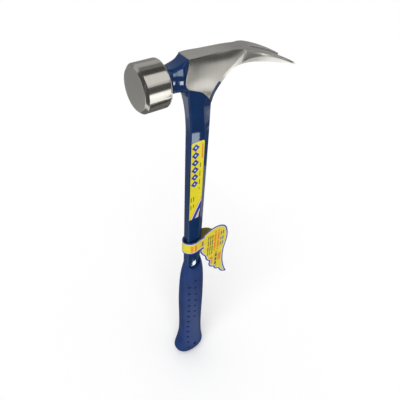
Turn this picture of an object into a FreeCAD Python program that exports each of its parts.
import FreeCAD, Part
import math
import os

V = FreeCAD.Vector

# A framing hammer forged in one piece from head to tang, with a moulded grip, a film label and a card tag.
# The frame: +Z runs up the shank to the head, -X is the striking face's side, +X the claws'.
# The origin lies on the shank's centre line, level with the underside of the neck, where a hammer loop holds it.

# Main sizes of the hammer, in millimetres.
overall_length = 457.0
axis_above_seat = 10.4
crown_above_axis = 17.2
face_reach = 59.8
claw_reach = 98.5

axis_z = axis_above_seat
crown_z = axis_z + crown_above_axis
butt_z = crown_z - overall_length

# What a cutting shape stands past the piece that it cuts.
overrun = 2.0

# The poll: a round hammer end with a bevelled flat face and a rounded rear edge.
poll_radius = 19.5
poll_length = 22.9
face_bevel_length = 2.3
face_bevel_height = 1.6
poll_rear_rounding = 2.2
shoulder_length = 4.0
shoulder_radius = 11.5

# The neck between the poll and the cheek, an octagon that is narrowest at its waist.
neck_root_half_width = 10.5
neck_root_rise = 12.6
neck_root_drop = 10.8
neck_root_bevel = 5.2
waist_reach = 28.5
waist_half_width = 7.7
waist_rise = 11.6
waist_bevel = 3.8
scoop_reach = 22.0
scoop_rise = 13.2
scoop_bevel = 2.8
crown_front_reach = 16.0
crown_front_rounding = 0.9

# The cheek: the polished middle of the head, which stands a little proud of the lacquered steel round it.
cheek_half_width = 9.2
cheek_band_drop = 5.0
cheek_side_drop = 22.0
cheek_foot_drop = 38.0
cheek_foot_half_width = 6.6
cheek_place_shares = (0.0, 0.17, 0.38, 0.58, 0.79, 1.0)
cheek_crown_shares = (0.80, 0.89, 0.81, 0.75, 0.78, 0.935)
cheek_side_shares = (0.97, 1.0, 1.0, 1.0, 0.99, 0.94)
crown_drop_shares = (0.0, 0.0, 0.12, 0.19, 0.43, 1.0)
cheek_start_reach = 20.5
cheek_edge_shares = ((0.86, 0.535), (0.95, 0.0), (0.70, -0.62), (0.34, -0.78), (-0.18, -1.33))
cheek_edge_reach = 20.5
cheek_edge_height = 15.0

# The crease where the cheek's polished side turns into the claws, and the web facet ahead of it.
crease_reach = 38.5
crease_drop = 3.2
crease_half_width = 8.6
crease_thickness = 14.6
throat_radius = 28.3
web_angles = (90.0, 100.0, 110.0, 120.0, 132.0, 148.0, 164.0, 180.0)
web_width_shares = (1.0, 0.67, 0.49, 0.43, 0.44, 0.46, 0.45, 0.41)
web_edge_shares = (0.53, 0.55, 0.575, 0.585, 0.585, 0.55, 0.46, 0.37)
web_side_shares = (0.935, 0.955, 0.978, 0.99, 1.0, 0.965, 0.80, 0.58)
web_width = 12.7

# The claws, straight and split, from the crease behind the cheek to their tips.
claw_half_width = 16.2
claw_drop = 24.3
claw_edge_height = 2.0
claw_place_shares = (0.0, 0.15, 0.31, 0.56, 0.79, 0.91, 1.0)
claw_width_shares = (0.0, 0.60, 0.96, 1.0, 0.92, 0.68, 0.29)
claw_drop_shares = (0.0, 0.10, 0.222, 0.457, 0.72, 0.872, 1.0)
claw_thickness_shares = (1.0, 0.84, 0.735, 0.55, 0.34, 0.215, 0.11)
claw_foot_shares = (0.30, 0.31, 0.34, 0.43, 0.50, 0.52, 0.52)
claw_knee_shares = (0.06, 0.52, 0.94, 0.94, 0.94, 0.94, 0.94)
slot_root_reach = 51.0
slot_root_radius = 0.9
slot_mouth_half_width = 7.6
slot_wall_slope = 0.14

# The shank: a bar with bevelled long edges that thickens towards the head.
shank_rear = 10.9
shank_low_front = 9.6
shank_low_rear = 8.8
shank_half_thickness = 4.75
shank_front_bevel = 0.9
shank_rear_slant = 5.2
shank_rear_half_thickness = 3.2
flare_bottom_drop = 60.0
flare_top_drop = 6.0
flare_half_width = 8.3
flare_front_reach = 15.9
flare_bottom_front = 10.4
swell_start_drop = 36.0
swell_end_drop = 9.0
flare_steps = 18
heel_drop = 12.5
heel_radius = 6.0
heel_half_width = 5.0

# The tang: the shank's end inside the grip, with a swollen foot that keys the grip on.
tang_shoulder_depth = 1.0
tang_shoulder_reach = 8.3
tang_start_depth = 42.0
tang_half_width = 7.0
tang_half_thickness = 3.4
tang_foot_half_width = 9.5
tang_foot_height = 14.0
tang_end_above_butt = 38.0

# The grip, moulded over the tang: its sections from the collar down to the butt.
grip_length = 223.0
grip_half_width = 16.0
grip_half_thickness = 11.8
grip_place_shares = (0.0, 0.08, 0.155, 0.225, 0.30, 0.38, 0.46, 0.55, 0.64, 0.73, 0.785, 0.83, 0.875, 0.915)
grip_front_shares = (0.61, 0.65, 0.85, 0.93, 0.97, 0.99, 0.99, 0.96, 0.93, 0.94, 1.0, 1.12, 1.28, 1.39)
grip_rear_shares = (0.61, 0.65, 0.87, 0.94, 0.97, 0.99, 1.0, 1.0, 1.01, 1.04, 1.08, 1.13, 1.22, 1.28)
grip_thick_shares = (0.43, 0.50, 0.70, 0.87, 0.96, 1.0, 1.0, 0.98, 0.97, 0.98, 1.02, 1.08, 1.13, 1.14)
butt_place_shares = (0.95, 0.98, 1.0)
butt_front_shares = (1.19, 0.79, 0.36)
butt_rear_shares = (1.20, 0.96, 0.54)
butt_thick_shares = (1.00, 0.74, 0.38)
grip_roundness = 2.35
grip_outline_points = 20
scallop_depth = 30.0
scallop_half_width = 8.2

# The grip's rows of dimples, and the hole to hang it by.
dimple_radius = 2.1
dimple_depth = 0.9
dimple_pitch_share = 0.0567
dimple_start_share = 0.2655
dimple_row_reaches = (-9.0, -0.5)
dimple_row_counts = (12, 7)
dimple_row_starts = (0.0, -0.67)
hang_hole_radius = 2.5
hang_hole_reach = 1.7
hang_hole_above_butt = 27.0

# The film label on the shank's broad side.
label_thickness = 0.2
label_front_reach = 9.2
label_rear_reach = 5.2
label_top_drop = 65.0
label_length = 98.0
label_cut_width = 3.2
label_cut_length = 36.0
label_cut_bow = 0.8

# The card tag: a strap that loops round the shank and a die-cut blade beside it.
card_thickness = 0.5
strap_height = 18.0
strap_plane = 6.6
tag_rest_gap = 0.3
loop_reach = 13.8
loop_x_shares = (
    1.01, 0.65, 0.29, -0.12, -0.43, -0.70, -0.87, -0.93, -0.88, -0.70,
    -0.36, 0.22, 0.80, 1.34, 1.67, 1.88, 2.07, 2.32, 2.68,
)
loop_y_shares = (
    -1.00, -1.01, -1.11, -1.26, -1.17, -0.85, -0.45, 0.00, 0.48, 0.89,
    1.11, 1.17, 1.09, 0.85, 0.45, -0.18, -0.70, -0.94, -0.95,
)
blade_top_rise = 8.6
blade_length = 94.0
blade_right_shares = (
    (0.05, 0.125),
    (0.10, 0.075),
    (0.18, 0.025),
    (0.28, 0.0),
    (0.36, 0.012),
    (0.43, 0.06),
    (0.468, 0.15),
    (0.48, 0.26),
    (0.468, 0.36),
    (0.443, 0.47),
    (0.435, 0.60),
    (0.444, 0.73),
    (0.473, 0.86),
    (0.525, 1.0),
)
blade_scallop_shares = (
    (0.515, 1.0),
    (0.44, 0.955),
    (0.385, 0.855),
    (0.345, 0.845),
    (0.30, 0.765),
    (0.255, 0.745),
    (0.225, 0.61),
    (0.185, 0.575),
    (0.15, 0.475),
    (0.115, 0.43),
    (0.07, 0.35),
)


def point(x, z, y=0.0):
    """A point given by its place along the head, its height above the poll's axis and its side."""
    return V(x, y, axis_z + z)


def outline(steps):
    """A closed outline: each step is a point reached by a line, or a pair reached by an arc through its first."""
    last = steps[0]
    edges = []
    for step in steps[1:]:
        if isinstance(step, tuple):
            edges.append(Part.Arc(last, step[0], step[1]).toShape())
            last = step[1]
        else:
            edges.append(Part.makeLine(last, step))
            last = step
    edges.append(Part.makeLine(last, steps[0]))
    return Part.Wire(edges)


def prism(steps, direction):
    """A solid made by pushing a closed outline along a direction."""
    return Part.Face(outline(steps)).extrude(direction)


def cross_prism(steps, half_width):
    """A solid made by pushing an outline of the side view out to both sides of the hammer."""
    solid = prism(steps, V(0, 2 * half_width, 0))
    solid.translate(V(0, -half_width, 0))
    return solid


def smooth_loft(wires):
    """A solid through the given outlines, curved along its length."""
    return Part.makeLoft(wires, True, False)


def mirrored(shape):
    """The same shape on the hammer's other side."""
    return shape.mirror(V(0, 0, 0), V(0, 1, 0))


def polygon(points):
    """A closed outline of straight lines."""
    return Part.makePolygon(points + points[:1])


def even_section(x, half):
    """A section across the head at x, the same on both sides, from its right half listed top to bottom."""
    right = [point(x, z, y) for y, z in half]
    left = [point(x, z, -y) for y, z in reversed(half)]
    return polygon(right + left)


def between(low, high, share):
    """The value a share of the way from low to high."""
    return low + (high - low) * share


def make_poll():
    """The poll turned about the head's axis, with its face bevel, rear rounding and shoulder."""
    rear = poll_length - face_reach
    waist = rear + shoulder_length
    diagonal = 1 - math.sqrt(0.5)
    shoulder_height = poll_radius - poll_rear_rounding - shoulder_radius
    steps = [
        point(-face_reach, 0),
        point(-face_reach, poll_radius - face_bevel_height),
        point(face_bevel_length - face_reach, poll_radius),
        point(rear - poll_rear_rounding, poll_radius),
        (
            point(rear - poll_rear_rounding * diagonal, poll_radius - poll_rear_rounding * diagonal),
            point(rear, poll_radius - poll_rear_rounding),
        ),
        (
            point(rear + shoulder_length * diagonal, shoulder_radius + shoulder_height * diagonal),
            point(waist, shoulder_radius),
        ),
        point(waist, 0),
    ]
    return Part.Face(outline(steps)).revolve(point(0, 0), V(1, 0, 0), 360)


def octagon(x, half_width, rise, drop, bevel):
    """An octagonal section across the neck at x, between heights above and below the axis."""
    half = [
        (half_width - bevel, rise),
        (half_width, rise - bevel),
        (half_width, bevel - drop),
        (half_width - bevel, -drop),
    ]
    return even_section(x, half)


def make_neck():
    """The waisted neck that runs from inside the poll's shoulder up to the crown's front edge."""
    crown_front = [
        (flare_half_width - crown_front_rounding, crown_above_axis),
        (flare_half_width, crown_above_axis - cheek_band_drop),
        (flare_half_width, crown_front_rounding - axis_above_seat),
        (flare_half_width - crown_front_rounding, -axis_above_seat),
    ]
    root = poll_length - face_reach
    return smooth_loft(
        [
            octagon(root, neck_root_half_width, neck_root_rise, neck_root_drop, neck_root_bevel),
            octagon(-waist_reach, waist_half_width, waist_rise, axis_above_seat, waist_bevel),
            octagon(-scoop_reach, waist_half_width, scoop_rise, axis_above_seat, scoop_bevel),
            even_section(-crown_front_reach, crown_front),
        ]
    )


def make_heel():
    """The rounded corner between the neck's underside and the shank's front edge."""
    front = -flare_front_reach
    corner = front - heel_radius
    bend = heel_radius * math.sqrt(0.5)
    centre_z = -axis_above_seat - heel_radius
    steps = [
        point(0, centre_z),
        point(0, overrun - axis_above_seat),
        point(corner, overrun - axis_above_seat),
        point(corner, -axis_above_seat),
        (point(corner + bend, centre_z + bend), point(front, centre_z)),
    ]
    return cross_prism(steps, heel_half_width)


def crown_height(share):
    """The crown's height above the axis, a share of the way down to the crease."""
    return crown_above_axis - crease_drop * share


def make_cheek():
    """The cheek: sections along the head, cut to the side view of its polished plate and to the throat."""
    wires = []
    rows = zip(cheek_place_shares, cheek_crown_shares, cheek_side_shares, crown_drop_shares)
    for place, crown, side, drop in rows:
        top = crown_height(drop)
        half = [
            (cheek_half_width * crown, top),
            (cheek_half_width * side, top - cheek_band_drop),
            (cheek_half_width * side, crown_above_axis - cheek_side_drop),
            (cheek_foot_half_width, crown_above_axis - cheek_foot_drop),
        ]
        wires.append(even_section(between(-cheek_start_reach, crease_reach, place), half))
    edge = [
        point(-cheek_edge_reach * x_share, cheek_edge_height * z_share)
        for x_share, z_share in cheek_edge_shares
    ]
    crown = [point(crease_reach, crown_above_axis + overrun), point(-crown_front_reach, crown_above_axis)]
    throat = [point(shank_rear, throat_centre_z()), point(crease_reach, throat_centre_z())]
    steps = crown + edge + throat
    plate = smooth_loft(wires).common(cross_prism(steps, claw_half_width))
    cutter = make_web_cutter()
    return plate.cut(cutter.fuse(mirrored(cutter)))


def throat_centre_z():
    """The height of the throat's centre against the axis."""
    return crown_above_axis - crease_drop - crease_thickness - throat_radius


def make_web_cutter():
    """What the web facet takes off the cheek's side, a strip along the throat that widens to the crease."""
    wires = []
    rows = zip(web_angles, web_width_shares, web_edge_shares, web_side_shares)
    for angle, width_share, edge_share, side_share in rows:
        width = web_width * width_share
        edge = cheek_half_width * edge_share
        slope = (cheek_half_width * side_share - edge) / width
        near = throat_radius - overrun
        far = throat_radius + width + overrun * 2
        corners = [
            (near, edge - slope * overrun),
            (far, edge + slope * (far - throat_radius)),
            (far, 2 * claw_half_width),
            (near, 2 * claw_half_width),
        ]
        wires.append(polygon([throat_point(angle, reach, y) for reach, y in corners]))
    return Part.makeLoft(wires, True, True)


def throat_point(angle, reach, y):
    """A point at an angle and a reach about the throat's centre."""
    turn = math.radians(angle)
    x = shank_rear + throat_radius + reach * math.cos(turn)
    return point(x, throat_centre_z() + reach * math.sin(turn), y)


def make_claws():
    """The claws: sections from the crease to the tips, split by a slot that widens to the mouth."""
    wires = []
    rows = zip(
        claw_place_shares,
        claw_width_shares,
        claw_drop_shares,
        claw_thickness_shares,
        claw_foot_shares,
        claw_knee_shares,
    )
    for place, width, drop, thickness, foot_share, knee in rows:
        x = between(crease_reach, claw_reach, place)
        half_width = between(crease_half_width, claw_half_width, width)
        top = crown_above_axis - crease_drop - claw_drop * drop
        edge = top - claw_edge_height * min(thickness / claw_thickness_shares[2], 1)
        foot = claw_half_width * foot_share
        bottom = top - crease_thickness * thickness
        half = [
            (half_width, top),
            (half_width, edge),
            (between(foot, half_width, knee), between(bottom, edge, knee)),
            (foot, bottom),
        ]
        wires.append(even_section(x, half))
    return Part.makeLoft(wires, True, True).cut(make_slot())


def slot_outline(z, grown):
    """The slot's outline at a height, its walls moved out by a length."""
    root = slot_root_radius + grown
    mouth = slot_mouth_half_width + grown + overrun * slot_wall_slope
    end = claw_reach + overrun
    steps = [
        point(slot_root_reach + slot_root_radius, z, root),
        point(end, z, mouth),
        point(end, z, -mouth),
        point(slot_root_reach + slot_root_radius, z, -root),
        (point(slot_root_reach - grown, z), point(slot_root_reach + slot_root_radius, z, root)),
    ]
    edges = []
    for start, stop in zip(steps[:3], steps[1:4]):
        edges.append(Part.makeLine(start, stop))
    edges.append(Part.Arc(steps[3], steps[4][0], steps[4][1]).toShape())
    return Part.Wire(edges)


def make_slot():
    """The slot between the claws, wider underneath than on top."""
    high = crown_above_axis
    low = -claw_drop
    widening = (high - low) * slot_wall_slope
    return Part.makeLoft([slot_outline(high, 0), slot_outline(low, widening)], True, True)


def bar_section(z, front, rear, half_thickness, rear_half_thickness):
    """A level section of the shank: bevelled at the front, slanting to a narrower edge at the rear."""
    half = [
        (-front, half_thickness - shank_front_bevel),
        (shank_front_bevel - front, half_thickness),
        (rear - shank_rear_slant, half_thickness),
        (rear, rear_half_thickness),
    ]
    near = [point(x, z, -y) for x, y in half]
    far = [point(x, z, y) for x, y in reversed(half)]
    return polygon(near + far)


def throat_x(z):
    """The throat's place along the head at a height, straight below its centre and round above it."""
    rise = max(z - throat_centre_z(), 0)
    return shank_rear + throat_radius - math.sqrt(throat_radius**2 - rise**2)


def make_shank():
    """The shank: a straight bar up to the flare, which thickens to both sides and swings back with the throat."""
    low = grip_top_z() - tang_shoulder_depth
    wires = []
    for step in range(flare_steps + 1):
        z = between(-flare_bottom_drop, -flare_top_drop, step / flare_steps)
        lean = min((flare_bottom_drop + z) / (flare_bottom_drop - heel_drop), 1)
        swell = min(max((swell_start_drop + z) / (swell_start_drop - swell_end_drop), 0), 1)
        front = between(flare_bottom_front, flare_front_reach, lean**2)
        thick = between(shank_half_thickness, flare_half_width, swell**2)
        thin = thick - shank_half_thickness + shank_rear_half_thickness
        wires.append(bar_section(z, front, throat_x(z), thick, thin))
    foot = bar_section(
        low,
        shank_low_front,
        shank_low_rear,
        shank_half_thickness,
        shank_rear_half_thickness,
    )
    return Part.makeLoft([foot] + wires, True, True)


def make_throat_cutter():
    """What the throat takes off: a cylinder across the head."""
    centre = point(shank_rear + throat_radius, throat_centre_z(), -claw_half_width)
    return Part.makeCylinder(throat_radius, 2 * claw_half_width, centre, V(0, 1, 0))


def block(half_length, half_thickness, low, high):
    """A block on the shank's centre line between two heights against the axis."""
    solid = Part.makeBox(2 * half_length, 2 * half_thickness, high - low)
    solid.translate(point(-half_length, low, -half_thickness))
    return solid


def make_tang():
    """The tang: the shank's shoulders inside the grip, a slimmer tail and its swollen foot."""
    top = grip_top_z()
    shoulder = block(tang_shoulder_reach, shank_half_thickness, top - tang_start_depth, top)
    end = butt_z - axis_z + tang_end_above_butt
    tail = block(tang_half_width, tang_half_thickness, end, top - tang_start_depth)
    foot = block(tang_foot_half_width, tang_half_thickness, end, end + tang_foot_height)
    return shoulder.fuse([tail, foot])


def grip_top_z():
    """The height of the grip's collar against the axis."""
    return butt_z - axis_z + grip_length


def grip_section(place, front, rear, thick):
    """A level section of the grip: a smooth rounded box a share of the way down."""
    z = grip_top_z() - grip_length * place
    power = 2 / grip_roundness
    points = []
    for step in range(grip_outline_points):
        angle = 2 * math.pi * step / grip_outline_points
        reach = rear if math.cos(angle) > 0 else front
        x = math.copysign(abs(math.cos(angle)) ** power, math.cos(angle)) * grip_half_width * reach
        y = math.copysign(abs(math.sin(angle)) ** power, math.sin(angle)) * grip_half_thickness * thick
        points.append(point(x, z, y))
    curve = Part.BSplineCurve()
    curve.interpolate(Points=points, PeriodicFlag=True)
    return Part.Wire(curve.toShape())


def make_grip(forging):
    """The grip moulded over the tang, with its scalloped top, its dimples and the hang hole."""
    places = grip_place_shares + butt_place_shares
    fronts = grip_front_shares + butt_front_shares
    rears = grip_rear_shares + butt_rear_shares
    thicks = grip_thick_shares + butt_thick_shares
    body = smooth_loft([grip_section(*row) for row in zip(places, fronts, rears, thicks)])
    tools = [make_scallop(), mirrored(make_scallop()), make_hang_hole()]
    tools += make_dimples(body)
    return body.cut(forging).cut(Part.makeCompound(tools))


def make_scallop():
    """The rounded notch that shows the shank's face in the middle of the grip's broad side."""
    top = grip_top_z()
    shoulder = top - scallop_depth + scallop_half_width
    steps = [
        point(-scallop_half_width, top + overrun, shank_half_thickness),
        point(-scallop_half_width, shoulder, shank_half_thickness),
        (
            point(0, top - scallop_depth, shank_half_thickness),
            point(scallop_half_width, shoulder, shank_half_thickness),
        ),
        point(scallop_half_width, top + overrun, shank_half_thickness),
    ]
    return prism(steps, V(0, grip_half_thickness, 0))


def make_hang_hole():
    """The hole through the butt's flare."""
    z = butt_z - axis_z + hang_hole_above_butt
    half = grip_half_thickness + overrun * 2
    return Part.makeCylinder(hang_hole_radius, 2 * half, point(hang_hole_reach, z, -half), V(0, 1, 0))


def make_dimples(body):
    """Balls that leave the rows of shallow dimples on both broad sides."""
    balls = []
    sink = dimple_radius - dimple_depth
    for reach, count, start in zip(dimple_row_reaches, dimple_row_counts, dimple_row_starts):
        for step in range(count):
            z = grip_top_z() - grip_length * (dimple_start_share + dimple_pitch_share * (step + start))
            probe = Part.makeLine(point(reach, z, 0), point(reach, z, 2 * grip_half_thickness))
            skin = body.common(probe).BoundBox.YMax
            for side in (-1, 1):
                balls.append(Part.makeSphere(dimple_radius, point(reach, z, side * (skin + sink))))
    return balls


def make_label():
    """The film label on the shank's labelled side, its lower rear corner cut away by a curve."""
    face = -shank_half_thickness
    bottom = -label_top_drop - label_length
    steps = [
        point(-label_front_reach, -label_top_drop, face),
        point(label_rear_reach, -label_top_drop, face),
        point(label_rear_reach, bottom + label_cut_length, face),
        (
            point(
                label_rear_reach - label_cut_width / 2 + label_cut_bow,
                bottom + label_cut_length / 2,
                face,
            ),
            point(label_rear_reach - label_cut_width, bottom, face),
        ),
        point(-label_front_reach, bottom, face),
    ]
    return prism(steps, V(0, -label_thickness, 0))


def curve_through(points):
    """A smooth open curve through the given points."""
    curve = Part.BSplineCurve()
    curve.interpolate(Points=points)
    return curve


def make_loop():
    """The strap's loop: a strip of card bent round the shank and back behind the blade."""
    line = curve_through(
        [
            V(loop_reach * x_share, strap_plane * y_share, 0)
            for x_share, y_share in zip(loop_x_shares, loop_y_shares)
        ]
    )
    steps = len(loop_x_shares) * 3
    inner = []
    outer = []
    for step in range(steps + 1):
        place = between(line.FirstParameter, line.LastParameter, step / steps)
        spot = line.value(place)
        ahead = line.tangent(place)[0]
        side = V(-ahead.y, ahead.x, 0) * (card_thickness / 2)
        inner.append(spot + side)
        outer.append(spot - side)
    inside = curve_through(inner).toShape()
    outside = curve_through(outer).toShape()
    ends = [Part.makeLine(inner[0], outer[0]), Part.makeLine(inner[-1], outer[-1])]
    face = Part.Face(Part.Wire(Part.__sortEdges__([inside, outside] + ends)))
    ring = face.extrude(V(0, 0, strap_height))
    ring.translate(point(0, grip_top_z() + tag_rest_gap))
    return ring


def blade_point(shares):
    """A point of the blade's outline from its shares along and down the blade."""
    top = grip_top_z() + tag_rest_gap + strap_height + blade_top_rise
    along, down = shares
    return point(blade_length * along, top - blade_length * down, -strap_plane - card_thickness / 2)


def make_blade():
    """The blade: flat card with a curved right edge and a scalloped lower left edge."""
    top = curve_through([blade_point(shares) for shares in blade_right_shares]).toShape()
    edges = [top]
    corners = [blade_point(shares) for shares in blade_scallop_shares]
    last = blade_point(blade_right_shares[-1])
    edges.append(Part.makeLine(last, corners[0]))
    for start, middle, stop in zip(corners[0::2], corners[1::2], corners[2::2]):
        edges.append(Part.Arc(start, middle, stop).toShape())
    edges.append(Part.makeLine(corners[-1], blade_point(blade_right_shares[0])))
    return Part.Face(Part.Wire(edges)).extrude(V(0, card_thickness, 0))


def make_forging():
    """The one-piece forging: head, shank and tang."""
    cutter = make_throat_cutter()
    web = make_web_cutter()
    shank = make_shank().cut(cutter).cut(web.fuse(mirrored(web)))
    solid = make_poll().fuse([make_neck(), make_heel(), make_cheek().cut(cutter), shank])
    return solid.fuse([make_claws(), make_tang()]).removeSplitter()


def export(shape, node):
    """Write one node's solid, largest first where a cut leaves scraps."""
    solid = sorted(shape.Solids, key=lambda piece: piece.Volume)[-1]
    solid.exportStep("parts/" + node + ".step")


os.makedirs("parts", exist_ok=True)
forging = make_forging()
export(forging, "forging")
export(make_grip(forging), "grip")
export(make_label(), "shank_label")
export(make_loop().fuse(make_blade()), "hang_tag")
